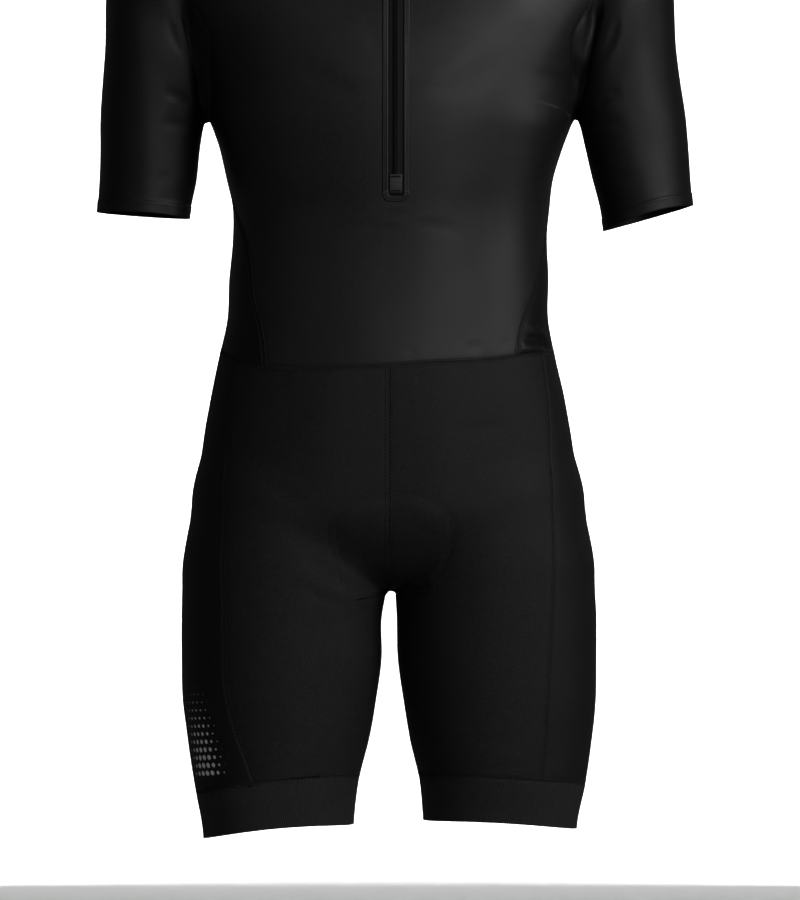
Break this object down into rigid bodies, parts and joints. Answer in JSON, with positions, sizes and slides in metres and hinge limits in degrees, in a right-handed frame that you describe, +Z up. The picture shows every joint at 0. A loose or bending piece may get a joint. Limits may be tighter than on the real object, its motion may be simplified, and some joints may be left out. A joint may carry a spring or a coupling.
{
  "type": "triathlon suit",
  "caption": "One-piece zipped triathlon suit with short sleeves and thigh-length legs, as worn: hollow fitted cloth panels, stand collar, wide leg bands.",
  "frame": {"origin": "middle of the neck base between the shoulders, where the wearer's shoulders hold the suit up", "axes": "+Z up along the body, -Y out of the chest, +X towards the wearer's left"},
  "size_m": [0.5545, 0.2438, 0.9448],
  "materials": {
    "top_knit": "smooth black stretch knit with a soft sheen",
    "shorts_knit": "matt black stretch knit",
    "side_knit": "smooth black stretch knit, a little darker",
    "band_knit": "ribbed black elastic knit",
    "zip_tape": "woven black tape",
    "zip_plastic": "black moulded coil",
    "zip_metal": "black painted zip metal"
  },
  "bodies": {
    "garment": {"front": "top_knit", "back": "top_knit", "side_left": "top_knit", "side_right": "top_knit", "collar": "top_knit", "sleeve_left": "top_knit", "sleeve_right": "top_knit", "shorts_front_left": "shorts_knit", "shorts_front_right": "shorts_knit", "thigh_side_left": "side_knit", "thigh_side_right": "side_knit", "shorts_back_left": "shorts_knit", "shorts_back_right": "shorts_knit", "leg_band_left": "band_knit", "leg_band_right": "band_knit", "zip_tape_left": "zip_tape", "zip_tape_right": "zip_tape", "zip_coil": "zip_plastic", "zip_stop": "zip_plastic", "zip_slider": "zip_metal"},
    "zip_pull": {"zip_pull": "zip_metal"}
  },
  "joints": [
    {"name": "pull_tab_swing", "type": "hinge", "parent": "garment", "child": "zip_pull", "pos_m": [0.0037, -0.05929, -0.03278], "axis": [-1, 0, 0], "range_deg": [0, 150]}
  ]
}
